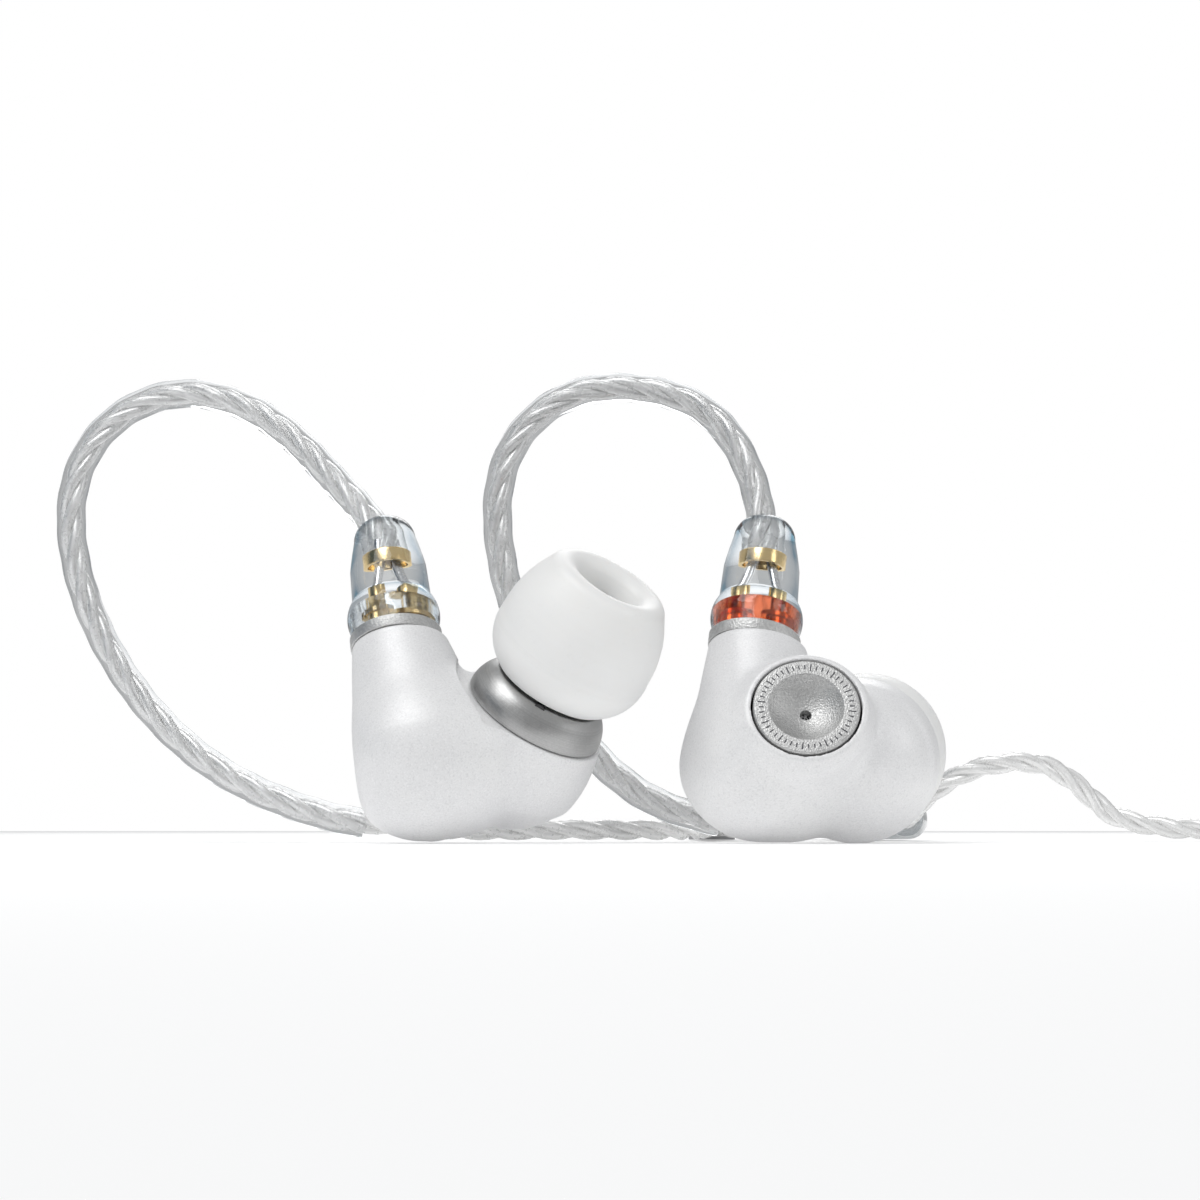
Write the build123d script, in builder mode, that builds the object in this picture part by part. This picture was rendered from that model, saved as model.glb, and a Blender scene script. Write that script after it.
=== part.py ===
from build123d import *
import math
import os

os.makedirs("parts", exist_ok=True)

# A pair of mirrored in-ear monitors with detachable cables, in millimetres.
# +Z is up, the pair stands on Z = 0, and -Y is the side that the pair is looked at from.
# Each earphone is drawn from its own stem plane: the collar seat is the origin and the cable
# socket is the normal. The left earphone is the right one with the stem plane's y turned round.

# ---- Driving dimensions ----
pair_centre = Vector(4.00, 4.24, 0.0)  # middle of the earphones' footprint before centring
pin_clearance = 0.04

# shell
wall = 0.8
outer_lobe = (-0.16, -1.39, -10.51)
outer_lobe_r = 6.2
inner_lobe = (2.12, -8.56, -9.03)
inner_lobe_r = 6.3
waist_r = 5.7
stem_r = 3.45
stem_bore_r = 2.6
collar_h = 1.0
nozzle_seat = (5.03, -8.58, -7.60)
nozzle_direction = (0.878, 0.0, 0.479)
nozzle_boss_r = 5.65
driver_bore_r = 5.0
ledge_top = -3.2
ledge_h = 0.4
ledge_r = 4.25
vent_seat = (-6.63, -5.18, -8.82)
vent_direction = (-0.990, -0.103, 0.092)
vent_boss_r = 5.15
vent_boss_rim_r = 4.6
medallion_r = 4.1
medallion_depth = 1.95
airway_r = 2.0

# nozzle and tip
nozzle_ring_r = 5.6
nozzle_ring_h = 2.6
nozzle_tube_r = 2.6
nozzle_bore_r = 2.0
nozzle_length = 7.0
barb_r = 2.85
tip_foot = 2.95
tip_length = 9.8
tip_r = 6.35
tip_bore_r = barb_r + 0.05

# driver, heights along the nozzle axis from the nozzle seat
driver_r = 4.95
cover_top = -1.3
cover_h = 0.3
basket_floor = ledge_top
magnet_r = 2.0
yoke_r = 3.3
yoke_gap_r = 2.9
coil_r = 2.6

# plug, heights along the stem axis from the collar
pin_r = 0.39
pin_length = 5.0
pin_pitch = 2.0
plug_length = 10.4
cable_entry = 8.4
crimp_low = 6.8
crimp_high = 8.0

# cable
sleeve_d = 2.4
branch_d = 1.7
main_d = 1.8
bundle_lift = 0.3
hank_layers = 3
hank_fold_r = 5.1
hank_centre = (16.0, 44.65)
hank_run = 24.0
coil_centre = (68.5, 28.0)
coil_mean_r = 10.0
coil_columns = 4
coil_rows = 3
slider_length = 5.0
split_length = 8.0
split_face_y = 41.0
cords_z = 1.8
jack_base = (87.0, 27.0, 3.2)
jack_r = 3.2
contact_r = 1.75


def placed(point):
    """A point of the layout, moved so that the pair is centred on the origin."""
    return Vector(*point) - pair_centre


class Earphone:
    """The three working planes of one earphone: stem, nozzle and vent."""

    def __init__(self, name, hand, seat, x_dir, z_dir):
        self.name = name
        self.hand = hand
        self.stem = Plane(origin=placed(seat), x_dir=x_dir, z_dir=z_dir)
        self.nozzle = self.plane_at(nozzle_seat, nozzle_direction)
        self.vent = self.plane_at(vent_seat, vent_direction)

    def point(self, x, y, z):
        return self.stem.from_local_coords(Vector(x, y * self.hand, z))

    def plane_at(self, origin, direction):
        start = self.point(*origin)
        normal = self.point(*direction) - self.stem.origin
        side = self.point(0, 1, 0) - self.stem.origin
        return Plane(origin=start, x_dir=side.cross(normal), z_dir=normal)


right = Earphone("right", 1, (12.1, 3.6, 15.902), (0.1125, 0.9111, -0.3965), (0.11, 0.3851, 0.9163))
left = Earphone("left", -1, (-15.9, 2.6, 15.974), (0.6174, -0.6654, 0.4196), (-0.1299, 0.4398, 0.8886))


def side_view(plane):
    """The plane through a revolved piece's axis, where x is the radius and y the height."""
    return Plane(origin=plane.origin, x_dir=plane.x_dir, z_dir=-plane.y_dir)


def turned(plane, outline, mode=Mode.ADD):
    """Revolve a closed outline of (radius, height) points about the plane's normal."""
    with BuildSketch(side_view(plane)) as profile:
        with BuildLine():
            Polyline(*outline, close=True)
        make_face()
    revolve(profile.sketch, axis=Axis(plane.origin, plane.z_dir), mode=mode)


def disc(plane, low, high, radius, mode=Mode.ADD):
    turned(plane, [(0, low), (radius, low), (radius, high), (0, high)], mode)


def ring(plane, low, high, inner, outer, mode=Mode.ADD):
    turned(plane, [(inner, low), (outer, low), (outer, high), (inner, high)], mode)


def save(piece, name):
    """Label a finished piece and write its STEP file."""
    piece.label = name
    export_step(piece, f"parts/{name}.step")


# ---- Cables: routes chosen by hand, as corners of straight runs joined by tangent arcs ----
left_hook_route = [
    (-17.0, 6.3, 23.4), (-18.7, 9.4, 26.2), (-21.5, 11.4, 29.1), (-24.5, 13.0, 32.4),
    (-27.7, 14.2, 34.9), (-30.9, 15.0, 36.3), (-34.3, 15.4, 36.8), (-37.7, 15.6, 36.0),
    (-40.7, 15.5, 33.9), (-42.7, 15.2, 30.7), (-43.4, 15.0, 26.9), (-42.9, 14.7, 22.8),
    (-41.6, 14.4, 18.7), (-39.6, 14.1, 14.8), (-36.9, 13.8, 11.0), (-33.4, 13.4, 7.5),
    (-29.4, 13.0, 4.8), (-25.0, 12.6, 2.9), (-20.9, 12.2, 1.7), (-17.4, 12.3, 1.25),
]
right_hook_route = [
    (13.0, 6.8, 23.6), (12.8, 9.0, 26.8), (12.0, 10.2, 29.9), (10.4, 11.2, 33.0),
    (8.0, 12.0, 35.3), (4.8, 12.4, 36.5), (1.4, 12.6, 36.9), (-2.1, 12.6, 36.4),
    (-5.1, 12.4, 34.6), (-7.3, 12.2, 31.8), (-8.3, 12.0, 28.4), (-8.3, 11.8, 24.8),
    (-7.6, 11.6, 20.8), (-6.3, 11.4, 16.9), (-4.5, 11.2, 12.9), (-2.3, 11.0, 9.1),
    (0.5, 10.8, 5.8), (4.0, 10.6, 3.2), (7.8, 10.4, 1.9), (11.3, 10.6, 1.3),
]
left_branch_route = [
    (-16.9, 12.3, 1.2), (-12.6, 13.0, 0.95), (-8.0, 12.2, 0.9), (-3.4, 12.6, 0.95),
    (1.2, 13.6, 0.9), (5.2, 15.8, 0.9), (7.9, 19.6, 0.9), (8.9, 24.4, 1.0), (9.2, 29.4, 1.2),
    (9.2, 34.0, 1.2),
]
right_branch_route = [
    (12.5, 11.6, 1.1), (13.8, 14.8, 0.95), (13.8, 18.4, 0.9), (12.6, 22.7, 0.9),
    (11.4, 27.2, 1.0), (10.9, 31.8, 1.2), (10.9, 34.0, 1.2),
]
left_tail_route = [
    (9.2, 55.0, 4.4), (9.2, 60.5, 4.2), (11.8, 66.2, 2.8), (17.8, 68.8, 1.6),
    (24.0, 66.6, 1.2), (27.0, 60.6, 1.6), (27.37, 53.4, 1.8), (27.37, 41.0, 1.8),
]
right_tail_route = [
    (10.95, 55.0, 4.4), (11.0, 59.8, 4.2), (13.6, 64.6, 2.8), (18.4, 66.5, 1.6),
    (23.1, 64.4, 1.2), (25.4, 59.6, 1.6), (25.63, 53.0, 1.8), (25.63, 41.0, 1.8),
]
main_route = [
    (26.5, 33.0, 1.8), (26.5, 28.8, 2.1), (27.7, 25.6, 4.2), (30.8, 24.0, 6.4),
    (34.6, 23.8, 7.5), (38.3, 24.2, 7.0), (41.2, 24.6, 4.6), (43.7, 24.4, 2.1),
    (47.6, 23.3, 1.0), (52.0, 21.7, 0.95), (56.4, 19.9, 1.0), (60.4, 18.6, 1.2),
]
jack_lead_route = [
    (72.0, 14.7, 3.4), (76.8, 14.2, 3.0), (81.6, 14.8, 2.8), (85.2, 17.8, 2.9),
    (86.8, 22.2, 3.1), (87.0, 27.0, 3.2),
]


def corner_radii(name, route, diameter):
    """The largest even arcs for a route: 0.45 of the shorter run over the half turn's tangent."""
    points = [Vector(*point) for point in route]
    radii = []
    for before, corner, after in zip(points, points[1:], points[2:]):
        turn = math.radians((corner - before).get_angle(after - corner))
        shorter = min((corner - before).length, (after - corner).length)
        radii.append(0.45 * shorter / math.tan(turn / 2))
    tightest = min(radii)
    print(f"{name}: tightest arc {tightest:.1f} mm, {tightest / diameter:.1f} diameters")
    return radii


def cable(name, route, diameter):
    """A round cable along straight runs joined by tangent arcs."""
    points = [placed(point) for point in route]
    with BuildPart() as tube:
        with BuildLine() as line:
            FilletPolyline(*points, radius=corner_radii(name, route, diameter))
        path = line.wires()[0]
        with BuildSketch(Plane(origin=points[0], z_dir=points[1] - points[0])):
            Circle(diameter / 2)
        sweep(path=path)
    wanted = path.length * math.pi * diameter**2 / 4
    print(f"{name}: length {path.length:.1f} mm, volume {tube.part.volume / wanted:.4f} of its due")
    return tube.part


# ---- Shell, collar and vent ----
def shell(ear):
    """The one-piece cast shell: a tapering stem, two lobes and two round bosses, all hollow."""
    outer_point = ear.point(*outer_lobe)
    inner_point = ear.point(*inner_lobe)
    between = Plane(origin=outer_point, z_dir=inner_point - outer_point)
    lobe_gap = (inner_point - outer_point).length
    shoulder = ear.stem.offset(outer_lobe[2])
    lobe_local = shoulder.to_local_coords(outer_point)

    def body(inset, stem_top, stem_top_r):
        """The shell's solid form, with each radius smaller by the inset."""
        with Locations(outer_point):
            Sphere(outer_lobe_r - inset)
        with Locations(inner_point):
            Sphere(inner_lobe_r - inset)
        with BuildSketch(between) as waist:
            Circle(waist_r - inset)
        extrude(waist.sketch, amount=lobe_gap)
        with BuildSketch(ear.stem.offset(stem_top)) as stem_end:
            Circle(stem_top_r)
        with BuildSketch(shoulder) as stem_root:
            with Locations((lobe_local.X, lobe_local.Y)):
                Circle(outer_lobe_r - inset - 0.02)
        loft([stem_end.sketch, stem_root.sketch])

    with BuildPart() as cavity:
        body(wall, -collar_h - 0.5, stem_bore_r)
        disc(ear.stem, -collar_h - 6, -collar_h + 0.1, stem_bore_r)
        disc(ear.nozzle, -3.4, 0.1, driver_bore_r)
    with BuildPart() as piece:
        body(0, -collar_h, stem_r)
        disc(ear.nozzle, -4, 0, nozzle_boss_r)
        turned(ear.vent, [
            (0, -4), (vent_boss_r, -4), (vent_boss_r, -1.2), (vent_boss_rim_r, -0.05), (0, -0.05),
        ])
        disc(ear.nozzle, 0, 4, nozzle_boss_r + 0.5, Mode.SUBTRACT)
        add(cavity.part, mode=Mode.SUBTRACT)
        ring(ear.nozzle, ledge_top - ledge_h, ledge_top, ledge_r, driver_bore_r + 0.7)
        disc(ear.vent, -medallion_depth, 0.1, medallion_r + 0.02, Mode.SUBTRACT)
        disc(ear.vent, -4.2, -medallion_depth, airway_r, Mode.SUBTRACT)
    return piece.part


def collar_ring(ear):
    with BuildPart() as piece:
        turned(ear.stem, [
            (stem_bore_r, -collar_h), (stem_r, -collar_h), (stem_r, -0.12), (stem_r - 0.12, 0),
            (stem_bore_r, 0),
        ])
    return piece.part


def medallion(ear):
    """The round vent disc: a flat rim around a dished middle with a small bleed hole."""
    with BuildPart() as piece:
        with BuildSketch(side_view(ear.vent)):
            with BuildLine():
                Polyline(
                    (2.85, 0.05), (medallion_r - 0.12, 0.05), (medallion_r, -0.07),
                    (medallion_r, -medallion_depth), (0.42, -medallion_depth), (0.42, -1.3),
                )
                ThreePointArc((0.42, -1.3), (1.85, -0.78), (2.85, 0.05))
            make_face()
        revolve(axis=Axis(ear.vent.origin, ear.vent.z_dir))
    return piece.part


def vent_mesh(ear):
    with BuildPart() as piece:
        disc(ear.vent, -medallion_depth - 0.25, -medallion_depth, airway_r - 0.02)
    return piece.part


# ---- Socket and plug ----
def pin_planes(ear):
    return [Plane(
        origin=ear.point(0, offset, 0), x_dir=ear.stem.x_dir, z_dir=ear.stem.z_dir
    ) for offset in (-pin_pitch / 2, pin_pitch / 2)]


def socket_contacts(ear):
    """Two spring sleeves with solder tails."""
    with BuildPart() as piece:
        for plane in pin_planes(ear):
            ring(plane, -5.6, -0.15, pin_r + pin_clearance, 0.62)
            disc(plane, -6.0, -5.6, 0.62)
            disc(plane, -7.2, -6.0, 0.3)
    return piece.part


def socket_block(ear):
    with BuildPart() as piece:
        disc(ear.stem, -5.8, 0, stem_bore_r)
        for plane in pin_planes(ear):
            disc(plane, -0.15, 0.1, pin_r + pin_clearance, Mode.SUBTRACT)
            disc(plane, -5.9, -0.15, 0.62, Mode.SUBTRACT)
    return piece.part


def driver_leads(ear):
    """Two thin insulated wires from the socket's tails to the back of the driver."""
    back = ear.nozzle.offset(-5.0)
    with BuildPart() as piece:
        for offset in (-1.0, 1.0):
            joint = back.origin + (ear.point(0, 0.6 * offset, 0) - ear.stem.origin)
            points = [
                ear.point(0, offset, -7.2),
                ear.point(0.0, offset * 0.9, -8.8),
                ear.point(-1.3, -3.6 + 0.8 * offset, -10.4),
                joint - ear.nozzle.z_dir * 2.0,
                joint,
            ]
            with BuildLine() as line:
                FilletPolyline(*points, radius=0.6)
            with BuildSketch(Plane(origin=points[0], z_dir=points[1] - points[0])):
                Circle(0.22)
            sweep(path=line.line)
    return piece.part


def plug_pins(ear):
    """Two gold pins with stepped barrels and solder cups."""
    with BuildPart() as piece:
        for plane in pin_planes(ear):
            turned(plane, [
                (0, -pin_length), (pin_r - 0.15, -pin_length), (pin_r, -pin_length + 0.2),
                (pin_r, 0.1), (0.9, 0.1), (0.9, 0.45), (0.62, 0.45), (0.62, 1.5), (0.85, 1.5),
                (0.85, 1.8), (0.5, 1.8), (0.5, 3.4), (0, 3.4),
            ])
    return piece.part


def plug_wires(ear):
    """The two stripped conductors between the pins' cups and the cable's end."""
    with BuildPart() as piece:
        for offset in (-1.0, 1.0):
            start = ear.point(0, offset, 3.4)
            middle = ear.point(0, 0.5 * offset, 6.2)
            stop = ear.point(0, 0.42 * offset, cable_entry - 0.35)
            for first, last in ((start, middle), (middle, stop)):
                with BuildSketch(Plane(origin=first, z_dir=last - first)):
                    Circle(0.28)
                extrude(amount=(last - first).length)
    return piece.part


def crimp_ring(ear):
    with BuildPart() as piece:
        ring(ear.stem, crimp_low, crimp_high, 1.35, 1.62)
    return piece.part


def marker_insert(ear, pins):
    """The coloured disc at the plug's foot that tells left from right."""
    with BuildPart() as piece:
        disc(ear.stem, 0.55, 2.3, 2.55)
        add(pins, mode=Mode.SUBTRACT)
    return piece.part


def plug_body(ear, held):
    """The clear moulded plug, solid round everything it holds."""
    with BuildPart() as piece:
        with BuildSketch(side_view(ear.stem)):
            with BuildLine():
                Polyline((0, 0.02), (3.3, 0.02), (3.42, 0.5))
                ThreePointArc((3.42, 0.5), (3.62, 1.75), (3.22, 2.95))
                Polyline((3.22, 2.95), (3.1, 3.15), (3.0, 6.0), (2.45, 8.7))
                ThreePointArc((2.45, 8.7), (2.1, 9.7), (1.2, 10.35))
                Polyline((1.2, 10.35), (0, plug_length), (0, 0.02))
            make_face()
        revolve(axis=Axis(ear.stem.origin, ear.stem.z_dir))
        for item in held:
            add(item, mode=Mode.SUBTRACT)
    return piece.part


# ---- Nozzle, tip and driver ----
def nozzle(ear):
    """The metal nozzle: a spigot in the shell, a rounded ring and a barbed sound tube."""
    with BuildPart() as piece:
        with BuildSketch(side_view(ear.nozzle)):
            with BuildLine():
                Polyline(
                    (4.35, -1.3), (driver_r, -1.3), (driver_r, 0), (nozzle_ring_r, 0),
                    (nozzle_ring_r, 0.3),
                )
                ThreePointArc((nozzle_ring_r, 0.3), (5.22, 1.65), (4.4, nozzle_ring_h))
                Polyline(
                    (4.4, nozzle_ring_h), (nozzle_tube_r, 2.9), (nozzle_tube_r, 5.9),
                    (barb_r, 6.0), (barb_r, 6.4), (2.5, nozzle_length),
                    (nozzle_bore_r, nozzle_length), (nozzle_bore_r, 2.1), (4.0, 1.5),
                    (4.35, 0.9), (4.35, -1.3),
                )
            make_face()
        revolve(axis=Axis(ear.nozzle.origin, ear.nozzle.z_dir))
    return piece.part


def nozzle_mesh(ear):
    """A perforated disc in the mouth of the sound tube."""
    with BuildPart() as piece:
        disc(ear.nozzle, 6.4, 6.6, nozzle_bore_r)
        for row_r, count in ((0.65, 6), (1.3, 12)):
            with BuildSketch(ear.nozzle.offset(6.4)):
                with PolarLocations(row_r, count):
                    Circle(0.2)
            extrude(amount=0.2, mode=Mode.SUBTRACT)
    return piece.part


def ear_tip(ear):
    """The soft tip: a sleeve that grips the barb and a thin domed skirt around it."""
    top = tip_foot + tip_length
    with BuildPart() as piece:
        with BuildSketch(side_view(ear.nozzle)):
            with BuildLine():
                ThreePointArc((4.6, tip_foot), (5.85, 4.3), (tip_r, 6.9))
                ThreePointArc((tip_r, 6.9), (6.1, 9.2), (5.35, 11.2))
                ThreePointArc((5.35, 11.2), (4.7, 12.3), (3.6, top))
                ThreePointArc((3.6, top), (2.65, 12.1), (2.2, 10.9))
                Polyline(
                    (2.2, 10.9), (2.2, nozzle_length + 0.2), (tip_bore_r, nozzle_length + 0.2),
                    (tip_bore_r, tip_foot), (3.55, tip_foot), (3.55, 9.6),
                )
                ThreePointArc((3.55, 9.6), (5.2, 9.0), (5.75, 6.9))
                ThreePointArc((5.75, 6.9), (5.3, 4.7), (4.15, tip_foot))
                Line((4.15, tip_foot), (4.6, tip_foot))
            make_face()
        revolve(axis=Axis(ear.nozzle.origin, ear.nozzle.z_dir))
    return piece.part


def driver_cover(ear):
    """The driver's front plate with its ring of sound holes."""
    with BuildPart() as piece:
        disc(ear.nozzle, cover_top - cover_h, cover_top, driver_r)
        with BuildSketch(ear.nozzle.offset(cover_top - cover_h)):
            Circle(0.7)
            with PolarLocations(2.6, 8):
                Circle(0.55)
        extrude(amount=cover_h, mode=Mode.SUBTRACT)
    return piece.part


def driver_basket(ear):
    """The driver's frame: an outer ring with a vented floor that holds the yoke."""
    with BuildPart() as piece:
        ring(ear.nozzle, basket_floor, cover_top - cover_h, 4.4, driver_r)
        ring(ear.nozzle, basket_floor, basket_floor + 0.25, yoke_r, driver_r)
        with BuildSketch(ear.nozzle.offset(basket_floor)):
            with PolarLocations(3.85, 8):
                Circle(0.3)
        extrude(amount=0.25, mode=Mode.SUBTRACT)
    return piece.part


def driver_yoke(ear):
    with BuildPart() as piece:
        disc(ear.nozzle, -5.0, -4.5, yoke_r)
        ring(ear.nozzle, -4.5, -2.95, yoke_gap_r, yoke_r)
    return piece.part


def driver_magnet(ear):
    with BuildPart() as piece:
        disc(ear.nozzle, -4.5, -3.35, magnet_r)
    return piece.part


def driver_top_plate(ear):
    with BuildPart() as piece:
        disc(ear.nozzle, -3.35, -2.95, magnet_r + 0.1)
    return piece.part


def voice_coil(ear):
    with BuildPart() as piece:
        ring(ear.nozzle, -3.9, -2.55, coil_r - 0.25, coil_r)
    return piece.part


def diaphragm(ear):
    """A domed centre and a rolled surround, pressed from one thin film."""
    with BuildPart() as piece:
        turned(ear.nozzle, [
            (0, -2.08), (1.3, -2.16), (2.2, -2.42), (2.3, -2.55), (2.65, -2.55), (3.4, -2.2),
            (4.2, -2.42), (4.2, -2.3), (3.4, -2.06), (2.62, -2.42), (2.3, -2.3), (1.3, -2.04),
            (0, -1.96),
        ])
    return piece.part


for ear in (left, right):
    hook_route = left_hook_route if ear is left else right_hook_route
    contacts = socket_contacts(ear)
    pins = plug_pins(ear)
    wires = plug_wires(ear)
    crimp = crimp_ring(ear)
    marker = marker_insert(ear, pins)
    hook = cable(f"{ear.name}_ear_hook_cable", hook_route, sleeve_d)
    pieces = {
        "shell": shell(ear),
        "collar_ring": collar_ring(ear),
        "medallion": medallion(ear),
        "vent_mesh": vent_mesh(ear),
        "socket_contacts": contacts,
        "socket_block": socket_block(ear),
        "driver_leads": driver_leads(ear),
        "plug_pins": pins,
        "plug_wires": wires,
        "crimp_ring": crimp,
        "marker_insert": marker,
        "ear_hook_cable": hook,
        "plug_body": plug_body(ear, [pins, wires, crimp, marker, hook]),
        "nozzle": nozzle(ear),
        "nozzle_mesh": nozzle_mesh(ear),
        "ear_tip": ear_tip(ear),
        "driver_cover": driver_cover(ear),
        "driver_basket": driver_basket(ear),
        "driver_yoke": driver_yoke(ear),
        "driver_magnet": driver_magnet(ear),
        "driver_top_plate": driver_top_plate(ear),
        "voice_coil": voice_coil(ear),
        "diaphragm": diaphragm(ear),
    }
    for name, piece in pieces.items():
        save(piece, f"{ear.name}_{name}")

# ---- Branch cables, hank, slider and split ----
save(cable("left_branch_cable", left_branch_route, branch_d), "left_branch_cable")
save(cable("right_branch_cable", right_branch_route, branch_d), "right_branch_cable")
save(cable("left_branch_tail", left_tail_route, branch_d), "left_branch_tail")
save(cable("right_branch_tail", right_tail_route, branch_d), "right_branch_tail")

hank_height = hank_layers * branch_d
hank_middle = placed((*hank_centre, bundle_lift))
with BuildPart() as branch_hank:
    with BuildSketch(Plane(hank_middle)):
        SlotCenterToCenter(hank_run, 2 * (hank_fold_r + 1.5 * branch_d), rotation=90)
        SlotCenterToCenter(
            hank_run, 2 * (hank_fold_r - branch_d / 2), rotation=90, mode=Mode.SUBTRACT
        )
    extrude(amount=hank_height)
save(branch_hank.part, "branch_hank")

cords_x = 26.5
split_back = Plane(origin=placed((cords_x, split_face_y, cords_z)), x_dir=(1, 0, 0), z_dir=(0, 1, 0))
cords_wide = 2 * branch_d + 0.1
cords_high = branch_d + 0.1
with BuildPart() as y_split:
    with BuildSketch(split_back):
        RectangleRounded(4.8, 3.5, 1.6)
    with BuildSketch(split_back.offset(-split_length * 0.55)):
        RectangleRounded(4.4, 3.3, 1.5)
    with BuildSketch(split_back.offset(-split_length)):
        RectangleRounded(3.0, 2.9, 1.4)
    loft()
save(y_split.part, "y_split")

slider_face = split_back.offset(0.3)
with BuildPart() as chin_slider:
    with BuildSketch(slider_face):
        RectangleRounded(4.9, 3.5, 1.6)
    extrude(amount=slider_length)
    fillet(chin_slider.edges().group_by(Axis.Y)[0], 0.4)
    fillet(chin_slider.edges().group_by(Axis.Y)[-1], 0.4)
    with BuildSketch(slider_face):
        SlotOverall(cords_wide, cords_high)
    extrude(amount=slider_length, mode=Mode.SUBTRACT)
save(chin_slider.part, "chin_slider")

# ---- Main cable, its coil and the jack ----
save(cable("main_cable", main_route, main_d), "main_cable")
save(cable("jack_lead", jack_lead_route, main_d), "jack_lead")

coil_middle = Plane(placed((*coil_centre, bundle_lift)))
coil_width = coil_columns * main_d
coil_height = coil_rows * main_d
with BuildPart() as main_coil:
    ring(coil_middle, 0, coil_height, coil_mean_r - coil_width / 2, coil_mean_r + coil_width / 2)
save(main_coil.part, "main_coil")


def tie(middle, bundle_wide, bundle_high):
    """A strap of the bundle's section, closed round it and standing on the floor."""
    across = Plane(origin=placed(middle), x_dir=(1, 0, 0), z_dir=(0, -1, 0))
    with BuildSketch(across) as section:
        Rectangle(bundle_wide + 2 * bundle_lift, bundle_high + 2 * bundle_lift)
        Rectangle(bundle_wide, bundle_high, mode=Mode.SUBTRACT)
    extrude(section.sketch, amount=2.5, both=True)


with BuildPart() as cable_ties:
    tie((coil_centre[0] - coil_mean_r, coil_centre[1], bundle_lift + coil_height / 2),
        coil_width + 1.2, coil_height)
    tie((hank_centre[0] - hank_fold_r - branch_d / 2, hank_centre[1], bundle_lift + hank_height / 2),
        2 * branch_d, hank_height)
save(cable_ties.part, "cable_ties")

jack_plane = Plane(origin=placed(jack_base), x_dir=(1, 0, 0), z_dir=(0, 1, 0))
with BuildPart() as jack_barrel:
    turned(jack_plane, [
        (0, 0), (1.5, 0), (2.1, 6), (jack_r - 0.6, 6), (jack_r, 6.6), (jack_r, 19.6),
        (jack_r - 0.4, 20), (0, 20),
    ])
save(jack_barrel.part, "jack_barrel")
with BuildPart() as jack_contacts:
    disc(jack_plane, 20, 26.5, contact_r)
    ring(jack_plane, 27.1, 29.2, 0.9, contact_r)
    turned(jack_plane, [
        (0, 29.8), (contact_r, 29.8), (1.2, 31.2), (contact_r, 32.4), (0.5, 34), (0, 34),
    ])
save(jack_contacts.part, "jack_contacts")
with BuildPart() as jack_insulators:
    turned(jack_plane, [
        (0, 26.5), (contact_r, 26.5), (contact_r, 27.1), (0.9, 27.1), (0.9, 29.2),
        (contact_r, 29.2), (contact_r, 29.8), (0, 29.8),
    ])
save(jack_insulators.part, "jack_insulators")
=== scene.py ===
import math

import bpy
import numpy as np
import openvdb
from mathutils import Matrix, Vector


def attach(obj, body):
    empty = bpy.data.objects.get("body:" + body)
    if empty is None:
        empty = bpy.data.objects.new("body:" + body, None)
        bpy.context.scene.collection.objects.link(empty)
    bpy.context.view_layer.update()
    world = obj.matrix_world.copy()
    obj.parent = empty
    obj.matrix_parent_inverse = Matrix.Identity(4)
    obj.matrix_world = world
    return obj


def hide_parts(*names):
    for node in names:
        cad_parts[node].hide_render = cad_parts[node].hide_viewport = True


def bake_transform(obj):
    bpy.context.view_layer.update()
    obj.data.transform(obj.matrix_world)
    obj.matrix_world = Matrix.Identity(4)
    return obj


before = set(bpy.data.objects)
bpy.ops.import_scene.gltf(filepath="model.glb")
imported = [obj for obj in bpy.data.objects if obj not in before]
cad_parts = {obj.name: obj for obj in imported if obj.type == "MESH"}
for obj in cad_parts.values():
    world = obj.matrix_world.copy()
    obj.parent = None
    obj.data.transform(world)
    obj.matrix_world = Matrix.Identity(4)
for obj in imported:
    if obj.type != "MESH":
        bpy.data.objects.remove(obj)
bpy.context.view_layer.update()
MM = 0.001
PAIR_CENTRE = np.array([4.00, 4.24, 0.0])


def placed(points):
    """Layout points in millimetres as row-frame points in metres."""
    return (np.asarray(points, float) - PAIR_CENTRE) * MM


# ---------------------------------------------------------------- camera, floor and light
def aim(obj, target):
    obj.rotation_euler = (Vector(target) - obj.location).to_track_quat("-Z", "Y").to_euler()


def camera():
    data = bpy.data.cameras.new("camera")
    data.lens = 99.8
    data.sensor_width = 36.0
    data.clip_start = 0.01
    data.clip_end = 10.0
    obj = bpy.data.objects.new("camera", data)
    obj.location = placed((0.0, -256.0, 1.3))
    bpy.context.scene.collection.objects.link(obj)
    aim(obj, placed((0.0, 0.0, 18.62)))
    bpy.context.scene.camera = obj


def area(name, place, target, size, power):
    data = bpy.data.lights.new(name, "AREA")
    data.shape = "SQUARE"
    data.size = size
    data.energy = power
    obj = bpy.data.objects.new(name, data)
    obj.location = place
    bpy.context.scene.collection.objects.link(obj)
    aim(obj, target)


def flag(name, corners, colour):
    """A dark studio card that only gloss and clear plastic show."""
    mesh = bpy.data.meshes.new(name)
    mesh.from_pydata(corners, [], [(0, 1, 2, 3)])
    obj = bpy.data.objects.new(name, mesh)
    bpy.context.scene.collection.objects.link(obj)
    made = bpy.data.materials.new(name)
    made.use_nodes = True
    made.node_tree.nodes["Principled BSDF"].inputs["Base Color"].default_value = (*colour, 1)
    made.node_tree.nodes["Principled BSDF"].inputs["Roughness"].default_value = 0.9
    mesh.materials.append(made)
    obj.visible_camera = False
    obj.visible_diffuse = False
    obj.visible_shadow = False


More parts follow.
